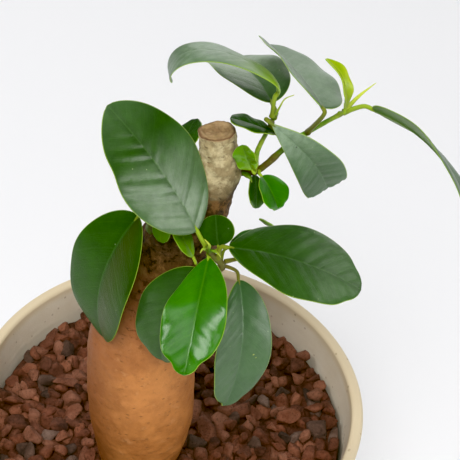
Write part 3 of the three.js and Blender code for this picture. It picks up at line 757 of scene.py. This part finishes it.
# each leaf: node, look, number of side veins; where its stalk leaves the twig and where its blade starts;
# turn, which is heading and rise of the midrib at its start and roll of the blade about it; length and
# width; bend, which is droop and sway along its length and fold of its halves; taper at base and tip;
# height of the edge's waves, pinch before the tip, brightness of the stalk, and whatever is unusual.
# Angles are in degrees and lengths in millimetres.
leafColumns = ("node", "look", "veins", "stalk", "base", "turn", "size", "bend", "taper", "wave", "nib",
               "stalkTone")
leafRows = [
    ("lower_leaf_up", "deep", 9, (11.6, -36.4, 245.6), (8.2, -36.1, 252.3), (178, 66, -41), (50, 28.5),
     (21, -8, 2), (0.65, 0.66), 0.5, 0.0, 0.9, {"thick": 0.95, "crease": 1.8, "dents": [(0.7, -1, 0.06, 0.09)],
     "paintedSheen": (0.28, 0.14, 0.0, 0.12), "gloss": 0.75}),
    ("lower_leaf_front", "bright", 8, (12.3, -35.8, 243.2), (12.3, -36.5, 242.4), (264, -9, 23), (40, 22),
     (19, 8, 11), (0.86, 0.62), 0.5, 0.22, 0.8, {"crease": 1.2, "gloss": 0.9}),
    ("lower_leaf_front_left", "deep", 8, (14, -35.2, 241), (9, -35.5, 236.5), (207, -49, -27), (36, 22.5),
     (29, -32, 17), (0.73, 0.52), 0.5, 0.1, 0.6, {"paintedSheen": (0.0, 0.04, 0.06, 0.06)}),
    ("lower_leaf_front_right", "grey", 9, (16, -34.5, 238), (22, -35.5, 233), (298, -55, -9), (45, 22),
     (35, 17, 14), (0.65, 0.55), 0.4, 0.1, 0.2, {"crease": 1.5, "thick": 0.8, "dents": [(0.97, 1, 0.45, 0.03)],
     "spots": [(0.56, -0.42, 0.5, 0.7), (0.585, -0.5, 0.3, 0.6)], "paintedSheen": (0.0, 0.06, 0.08, 0.0),
     "gloss": 0.6}),
    ("lower_leaf_right", "deep", 9, (15, -35.6, 241), (17.9, -35.6, 246.3), (-1, 2, 8), (43.5, 28), (27, 13, 4),
     (0.74, 0.57), 0.5, 0.1, 0.45, {"crease": 1.6, "gloss": 0.6,
     "dents": [(0.65, -1, -0.08, 0.2), (0.15, -1, -0.12, 0.1)], "paintedSheen": (0.0, 0.02, 0.08, 0.1)}),
    ("lower_leaf_inner", "deep", 4, (12.8, -35.8, 243.6), (14.8, -33.4, 244.7), (120, 70, -30), (9.8, 11.4),
     (20, 0, 11), (0.5, 0.5), 0.1, 0.0, 0.6, {}),
    ("lower_leaf_behind", "grey", 5, (16, -34.6, 238.5), (18.3, -30.5, 241.8), (28, 22, 20), (10.5, 5),
     (10, 0, 10), (0.6, 0.55), 0.2, 0.1, 0.5, {}),
    ("lower_leaf_far", "grey", 4, (17.2, -34.1, 238.9), (33.4, -20.5, 241.2), (152, 17, 70), (7.5, 2.6),
     (8, 0, 8), (0.6, 0.6), 0.1, 0.0, 0.3, {"paintedSheen": (0.6, 0.6, 0.6, 0.6)}),
    ("trunk_leaf_small", "bright", 5, (6, -27, 236.5), (7.3, -34.4, 240), (166, 66, -7), (12.5, 7.8),
     (20, 0, 11), (0.68, 0.48), 0.1, 0.1, 0.8, {"gloss": 0.2, "glow": 0.3, "pale": 0.3}),
    ("left_leaf_hanging", "deep", 10, (-5, -25.8, 247.5), (-10.3, -27.7, 249), (209, -47, -18), (53, 29),
     (57, -18, 12), (0.58, 0.6), 0.4, 0.05, 0.6, {"tint": -1, "gloss": 0.1, "crease": 0.5}),
    ("left_leaf_small", "bright", 5, (-2.8, -25.8, 251), (-2, -27.6, 251.2), (245, -62, 3), (10.5, 6.8),
     (24, 0, 12), (0.6, 0.5), 0.1, 0.1, 0.8, {"gloss": 0.2, "glow": 0.3, "pale": 0.3}),
    ("left_leaf_back", "deep", 6, (-0.8, -16.5, 257.3), (0, -10, 258.5), (80, 21, -28), (17, 10.5), (15, 0, 9),
     (0.55, 0.55), 0.2, 0.1, 0.6, {}),
    ("left_leaf_tiny", "bright", 3, (1.2, -22.1, 267.5), (2.4, -22, 270.2), (-12, 37, 60), (4.2, 3),
     (15, 0, 10), (0.55, 0.5), 0.05, 0.0, 0.8, {}),
    ("right_leaf_small", "bright", 4, (24.2, -20, 267), (23.1, -24.2, 268.2), (190, 62, -110), (9, 8),
     (30, 0, 24), (0.6, 0.45), 0.7, 0.0, 0.9, {"gloss": 1.0, "glow": 0.4, "pale": 0.3,
     "dents": [(0.75, 1, 0.16, 0.1)]}),
    ("right_leaf_round", "bright", 5, (25.4, -20, 265.4), (26, -22.8, 265), (319, -27, -10), (11.5, 13),
     (30, 3, 18), (0.65, 0.48), 0.2, 0.2, 0.9, {"gloss": 0.9, "crease": 0.4}),
    ("right_leaf_narrow", "deep", 5, (24, -19.8, 264.4), (24, -18.6, 261.8), (287, -32, -26), (10.5, 7),
     (25, 0, 12), (0.6, 0.5), 0.1, 0.1, 0.7, {}),
    ("upper_leaf_short", "deep", 5, (27.2, -19, 281.6), (29, -21, 280), (180, 24, 6), (14.5, 8.5), (15, 3, 8),
     (0.68, 0.42), 0.3, 0.0, 0.5, {}),
    ("upper_leaf_torn", "grey", 10, (27.4, -19, 282.5), (27.2, -24, 286), (10, -43, 86), (52, 15.6),
     (31, 25, 10), (0.86, 0.36), 0.4, 0.0, 0.4, {"droopLate": 0.8, "cut": 0.86,
     "tear": (-0.8, 0.2, 0, -0.8, -2.6), "ragged": 0.35, "spots": [(0.3, 0.1, 0.35, -1)], "crease": 1.2,
     "paintedSheen": (0.9, 0.3, 0.0, 0.0)}),
    ("upper_leaf_arched", "grey", 9, (27.4, -19.4, 285), (28.2, -19.4, 293.3), (210, 132, -27), (45, 18.3),
     (138, 32, 0), (0.5, 0.42), 0.2, 0.0, 0.75, {"droopLate": 3.0, "hook": 102, "glow": 1.0, "bow": 0.1,
     "grip": 0.03, "thick": 0.9, "flare": 0.4, "paintedSheen": (0.0, 0.1, 0.45, 0.0)}),
    ("upper_leaf_back", "deep", 8, (28, -18.8, 284.4), (27.3, -8.2, 281.8), (113, 13, 3), (35, 24),
     (50, -18, 17), (0.55, 0.56), 0.4, 0.1, 0.5, {"paintedSheen": (0.1, 0.2, 0.35, 0.35), "crease": 0.5}),
    ("upper_leaf_far", "grey", 9, (38.5, -18, 279.3), (41.6, -24.4, 293.2), (109, 3, 32), (38, 25),
     (15, -8, 20), (0.42, 0.42), 0.4, 0.0, 0.3, {"droopLate": 0.7, "cut": 0.92, "tear": (0, 1.4, 3, 2.4, 0.4),
     "bow": 0.1, "paintedSheen": (0.15, 0.2, 0.15, 0.0)}),
    ("upper_leaf_right", "grey", 10, (48.2, -16.9, 287), (56.5, -19, 290.5), (322, 9, -50), (51, 21.5),
     (64, -25, 8), (0.55, 0.6), 0.3, 0.1, 0.85, {"droopLate": 1.3}),
    ("upper_leaf_young", "young", 7, (47.2, -17.1, 286.6), (48.4, -19, 290), (180, 90, -30), (17.8, 5.4),
     (84, 0, 30), (0.6, 0.7), 0.4, 0.0, 1.0, {"droopLate": 1.6}),
]


def leafPaint(label, deep, light, vein, rough, coatRough, shine, shineTone):
    material, place = newMaterial(label)
    fromMidrib = painted(place, "fromMidrib")
    pattern = node("Group", {
        "Place": place, "Vein Phase": painted(place, "veinPhase"), "From Midrib": fromMidrib,
        "From Edge": painted(place, "fromEdge"), "Along": painted(place, "along"),
    }, node_tree=leafPattern)
    patches = mottled(place, 70.0, 0.1)
    grain = noiseAt(place, 420.0, 5.0, 0.65)
    under, spots = painted(place, "under"), painted(place, "spot")
    back = layered(leafTones["under"], leafTones, ("backRib", pattern["Midrib"], 0.7), (light, 0.35))
    stalk = laid(leafTones["stalkDark"], leafTones["stalkBright"], painted(place, "stalkTone"))
    colour = layered(
        deep, leafTones, (light, patches), (deep, fade(fromMidrib, 0.4, 2.6, 0.6, 0.0)),
        ("tint", painted(place, "tint"), 0.7),
        # painted sheen: a pale reflection colour laid on the leaf, broken up by the leaf's grain
        ("paintedSheen", painted(place, "paintedSheen"), fade(grain, 0.3, 0.7, 0.7, 1.15)),
        (vein, pattern["Net"], 0.04), (vein, pattern["Veins"], 0.05), (vein, pattern["Midrib"], 0.16),
        ("fleck", pitted(place, 520.0, 0.13, 0.08), 0.5), (back, under), ("glow", painted(place, "glow")),
        ("margin", pattern["Margin"], 0.55), ("spot", fade(spots, 0.3, 0.7)),
        ("darkSpot", fade(spots, -0.3, -0.7)), (stalk, painted(place, "stalk")),
    )
    rough = scaled(under, 0.25, scaled(patches, 0.1, rough))
    coat = times(painted(place, "gloss"), fade(grain, 0.25, 0.6, 0.75, 1.0))
    return dressed(material, colour, rough, (scaled(grain, 0.35, pattern["Height"]), 0.3, 0.0003), {
        "Coat Weight": coat, "Coat Roughness": coatRough, "Specular IOR Level": shine,
        "Specular Tint": shineTone, "Subsurface Weight": 0.12, "Subsurface Radius": (0.6, 1.0, 0.2),
        "Subsurface Scale": 0.001,
    })


def leafAxes(turn):
    heading, rise, roll = (radians(angle) for angle in turn)
    along = np.array([cos(rise) * cos(heading), cos(rise) * sin(heading), sin(rise)])
    up = np.array([-sin(rise) * cos(heading), -sin(rise) * sin(heading), cos(rise)])
    up = np.array(Matrix.Rotation(roll, 3, Vector(along)) @ Vector(up))
    return along, up, np.cross(along, up)


def axesAlong(leaf, shares):
    along, up, across = leafAxes(leaf["turn"])
    droop = radians(leaf["bend"][0]) * shares ** leaf["droopLate"]
    droop = droop + radians(leaf["hook"]) * (1 - np.exp(-shares / leaf["hookReach"]))
    droop = droop[:, None]
    sway = (radians(leaf["bend"][1]) * shares)[:, None]
    bent = along * np.cos(droop) - up * np.sin(droop)
    lifted = up * np.cos(droop) + along * np.sin(droop)
    bent = bent * np.cos(sway) + across * np.sin(sway)
    return bent, lifted, np.cross(bent, lifted)


def halfWidth(leaf, shares, spread):  # of the blade, for each row of points and each place across it
    start, end = leaf["taper"]
    widest = start / (start + end)
    reach = shares * leaf["cut"]
    half = leaf["size"][1] / 2 * (reach / widest) ** start * ((1 - reach) / (1 - widest)) ** end
    half *= 1 - leaf["nib"] * bell((shares - 0.92) / 0.045)  # pinched before the drip tip
    half = np.maximum(half, 0.12)[:, None]
    for at, side, depth, width in leaf["dents"]:  # one side of the outline in, or out where negative
        half = half * (1 - depth * bell((shares[:, None] - at) / width) * (spread * side > 0))
    return half


def bladeFaces(inner):  # top faces and, wound the other way, lower faces, which share the rim's points
    grid = np.arange(inner.size).reshape(inner.shape)
    under = grid.copy()
    under[inner] = inner.size + np.arange(inner.sum())
    faces = []
    for row in range(inner.shape[0] - 1):
        for column in range(inner.shape[1] - 1):
            corners = [(row, column), (row, column + 1), (row + 1, column + 1), (row + 1, column)]
            faces.append(tuple(int(grid[corner]) for corner in corners))
            faces.append(tuple(int(under[corner]) for corner in corners[::-1]))
    return faces


def bladePart(leaf, seed):
    length = leaf["size"][0]
    rows, columns = leaf["smallSteps"] if length < leaf["smallLength"] else leaf["steps"]
    fine = (np.arange(rows * 8) + 0.5) / (rows * 8)
    steps = axesAlong(leaf, fine)[0] * length * leaf["cut"] / (rows * 8)
    middle = np.array(leaf["base"]) + np.vstack([np.zeros(3), np.cumsum(steps, axis=0)])[::8]
    shares = np.linspace(0, 1, rows + 1)
    along, up, across = axesAlong(leaf, shares)
    even = np.linspace(-1, 1, columns + 1)
    size = np.abs(even)
    size = size - 0.75 * np.sin(2 * pi * size) / (2 * pi)  # finer at the midrib and at the edge
    spread = (np.sign(even) * size)[None]
    size = np.abs(spread)
    half = halfWidth(leaf, shares, spread)
    share = shares[:, None]
    fold = radians(leaf["bend"][2])
    crease = np.sqrt(size ** 2 + 0.004) - 0.063
    height = half * (crease * sin(fold) - leaf["cup"] * size ** 2)
    ripple = np.where(spread > 0, np.sin(share * 15 + seed), np.sin(share * 12 + seed * 2.3))
    height = height + leaf["wave"] * ripple * size ** 2.5 * np.sin(pi * share) ** 0.5
    # side veins leave the midrib at about 55 degrees and curve towards the tip
    outward = half * size
    slant = outward / (tan(radians(55)) * length) + 0.03 * size ** 2
    phase = leaf["veins"] * (share - slant) + np.where(spread > 0, 0.5, 0.0)
    phase = phase + 0.16 * np.sin(phase * 2.1 + seed * 1.7) + 0.1 * np.sin(phase * 4.7 + seed)
    toVein = np.abs(phase - np.round(phase)) * length / leaf["veins"] * 0.8
    fromEdge = half * (1 - size)
    inside = np.clip(fromEdge / 2.5, 0, 1)
    # each vein has its own depth, and each field between two veins its own swelling
    depth = (0.5 + 0.5 * np.sin(np.round(phase) * 12.9 + seed * 7.7 + (spread > 0) * 2)) ** 1.5
    swelling = 0.25 + 0.75 * (0.5 + 0.5 * np.sin(np.floor(phase) * 9.1 + seed * 3.3 + (spread > 0)))
    veins = leaf["crease"] * bell(toVein / 0.4) * inside * depth
    pillow = np.sin(pi * (phase - np.floor(phase))) ** 2 * inside * np.clip(outward / 2, 0, 1) * swelling
    rib = bell(outward / 0.55) * (1 - 0.7 * share)
    relief = leaf["crease"] * leaf["pillow"] * pillow - leaf["veinGroove"] * veins
    relief = (relief - leaf["ribGroove"] * rib) * np.clip(half / 3, 0, 1)
    body = leaf["thickness"] / 2 * np.sqrt(np.clip(1 - size ** 10, 0, 1))
    ridges = (leaf["ribUnder"] * rib + leaf["veinUnder"] * veins) * np.clip(half / 3, 0, 1)
    tear = np.interp(spread[0], np.linspace(-1, 1, 5), leaf["tear"])[None]
    tear = tear + leaf["ragged"] * (np.sin(19 * spread) + 0.6 * np.sin(43 * spread + 1))
    sheet = middle[:, None] + across[:, None] * (spread * half * cos(fold))[..., None]
    sheet = sheet + along[:, None] * (share ** 8 * tear)[..., None]
    inner = np.zeros((rows + 1, columns + 1), bool)
    inner[1:-1, 1:-1] = True
    top = sheet + up[:, None] * np.where(inner, height + body + relief, height)[..., None]
    low = sheet + up[:, None] * (height - (body + ridges))[..., None]
    points = np.vstack([top.reshape(-1, 3), low[inner]])
    spot = 0
    for at, side, radius, sign in leaf["spots"]:
        far = np.hypot((share - at) * length, (spread - side) * half)
        spot = spot + sign * bell(far / radius)
    side = leaf["tint"]
    tint = np.clip(spread * side * 8, 0, 1) * np.clip(1.4 - 1.2 * size, 0, 1) * abs(side)
    values = {
        "veinPhase": phase, "fromMidrib": outward, "fromEdge": fromEdge, "along": share, "tint": tint,
        # glow is painted light: a glow near the blade's base, and the pale share laid evenly over the whole
        # blade
        "glow": leaf["glow"] * bell(share / 0.24) + leaf["pale"], "spot": spot,
        # the bloom values along each leaf set where its painted sheen lies
        "paintedSheen": np.interp(shares, (0, 0.4, 0.7, 1), leaf["paintedSheen"])[:, None], "gloss": leaf["gloss"],
        "stalk": 0, "stalkTone": leaf["stalkTone"],
    }
    for label, numbers in values.items():  # the same value above and below
        full = np.broadcast_to(numbers, inner.shape)
        values[label] = np.concatenate([full.reshape(-1), full[inner]]).astype(float)
    values["under"] = np.concatenate([np.zeros(inner.size), np.ones(inner.sum())])
    return points, bladeFaces(inner), values


def stalkPart(leaf):
    along, up, _ = leafAxes(leaf["turn"])
    start, base = np.array(leaf["stalk"], float), np.array(leaf["base"], float)
    length = norm(base - start)
    reach = leaf["size"][0] * leaf["grip"]
    # the end is sunk into the blade, so that it shows only from below
    line = smoothLine([start, base - along * length * leaf["bow"], base, base + along * reach - up * 0.6], 40)
    share = np.linspace(0, 1, 40)
    radius = leaf["stalkRadius"] * leaf["thick"]
    if leaf["size"][1] < leaf["slimWidth"]:
        radius *= leaf["slimStalk"]
    beyond = length / (length + reach)
    radii = radius * (1 - 0.25 * share) * (1 + 0.35 * bell(share / 0.1))
    radii *= 1 + leaf["flare"] * np.clip(share / beyond, 0, 1) ** 3
    radii *= np.clip((1.02 - share) / (1.02 - beyond), 0.05, 1) ** 0.7
    points, faces, shares = tube(line, radii, 14)
    nothing = ("veinPhase", "along", "tint", "glow", "spot", "under", "paintedSheen", "gloss")
    values = {label: np.zeros(len(points)) for label in nothing}
    values["fromMidrib"] = values["fromEdge"] = np.full(len(points), 5.0)
    values["stalk"] = 1 - np.clip((shares - beyond) / (1 - beyond), 0, 1) * 0.6
    values["stalkTone"] = np.clip(leaf["stalkTone"] + 0.25 * (shares - 0.5), 0, 1)
    return points, faces, values


leafMaterials = {label: leafPaint(f"{label}Leaf", *look) for label, look in leafLooks.items()}
for leafSeed, (*leafRow, leafUnusual) in enumerate(leafRows):
    oneLeaf = {**leafUsual, **dict(zip(leafColumns, leafRow)), **leafUnusual}
    leafPoints, leafFaces, leafValues = joined([bladePart(oneLeaf, leafSeed), stalkPart(oneLeaf)])
    leafLabel = "leaf" + oneLeaf["node"].replace("_leaf", "").title().replace("_", "")
    leafMaterial = leafMaterials[oneLeaf["look"]]
    makePiece(leafLabel, leafPoints, leafFaces, leafMaterial, [oneLeaf["node"]], leafValues)
print("leaves built:", len(leafRows))

# floor, light and camera

studio = {
    "floor": tone(241, 241, 243), "reach": 1.3,
    "dim": 0.08, "backdrop": 0.95, "black": (0.006, 0.004, 0.008),
    "sides": [  # bright parts of the room: direction, half width in degrees, strength
        ((0.9, -0.42, -0.09), 14, 7.0), ((0.2, 0.97, 0.14), 26, 1.5), ((0.62, 0.42, 0.66), 12, 2.5),
        ((-0.79, 0.17, 0.59), 6, 9.0), ((-0.54, 0.06, 0.84), 9, 2.2), ((0.0, -0.8, 0.6), 50, 0.15),
    ],
    "lamps": [  # label, place, aim, size, watts
        ("topLight", (-0.2, -2.3, 3.6), (0.01, -0.02, 0.2), 2.0, 140),
        ("windowLight", (-1.7, 0.6, 2.0), (0.01, -0.02, 0.15), 1.2, 12),
    ],
}
camera = {"lens": 101.74, "place": (0.018, -0.328, 0.514), "pitch": 41.7, "roll": 5.0}


def buildFloor():
    mesh = bpy.data.meshes.new("studioFloor")
    reach = studio["reach"]
    corners = [(-reach, -reach, 0), (reach, -reach, 0), (reach, reach, 0), (-reach, reach, 0)]
    mesh.from_pydata(corners, [], [(0, 1, 2, 3)])
    mesh.materials.append(dressed(newMaterial("paleFloor")[0], studio["floor"], 0.9))
    newObject("studioFloor", mesh)


def buildRoom():
    world = bpy.data.worlds.new("softRoom")
    world.use_nodes = True
    nodes = world.node_tree.nodes
    direction = nodes.new("ShaderNodeTexCoord").outputs["Generated"]
    room = studio["dim"]
    for side, width, strength in studio["sides"]:
        inputs = {0: direction, 1: Vector(side).normalized()}
        facing = node("VectorMath", inputs, operation="DOT_PRODUCT")["Value"]
        near, far = cos(radians(width * 0.6)), cos(radians(width * 1.3))
        room = maths("ADD", room, fade(facing, far, near, 0.0, strength))
    # the camera sees an even pale room, the leaves mirror the bright parts
    seen = nodes.new("ShaderNodeLightPath").outputs["Is Camera Ray"]
    plain = times(seen, studio["backdrop"])
    room = scaled(room, maths("SUBTRACT", 1.0, seen), plain)
    feed(nodes["Background"].inputs, {"Color": (1, 1, 1, 1), "Strength": room})
    bpy.context.scene.world = world


def buildLamps():
    for label, place, aim, size, watts in studio["lamps"]:
        light = bpy.data.lights.new(label, "AREA")
        light.shape = "DISK"
        light.size = size
        light.energy = watts
        lamp = newObject(label, light)
        lamp.location = place
        lamp.rotation_euler = (Vector(aim) - Vector(place)).to_track_quat("-Z", "Y").to_euler()
        lamp.visible_glossy = False


def buildCamera():
    pitch, roll = radians(camera["pitch"]), radians(camera["roll"])
    right = Vector((1, 0, 0))
    up = Vector((0, sin(pitch), cos(pitch)))
    back = Vector((0, -cos(pitch), sin(pitch)))
    across = cos(roll) * right + sin(roll) * up
    upward = cos(roll) * up - sin(roll) * right
    lens = bpy.data.cameras.new("viewCamera")
    lens.lens = camera["lens"]
    lens.clip_start = 0.01
    viewer = newObject("viewCamera", lens)
    axes = Matrix((across, upward, back)).transposed().to_4x4()
    viewer.matrix_world = Matrix.Translation(camera["place"]) @ axes
    bpy.context.scene.camera = viewer


buildFloor()
buildRoom()
buildLamps()
buildCamera()
shownAs = bpy.context.scene.view_settings
shownAs.view_transform = "Standard"
shownAs.use_curve_mapping = True
shownAs.curve_mapping.black_level = studio["black"]
shownAs.curve_mapping.update()
print("studio and camera set")
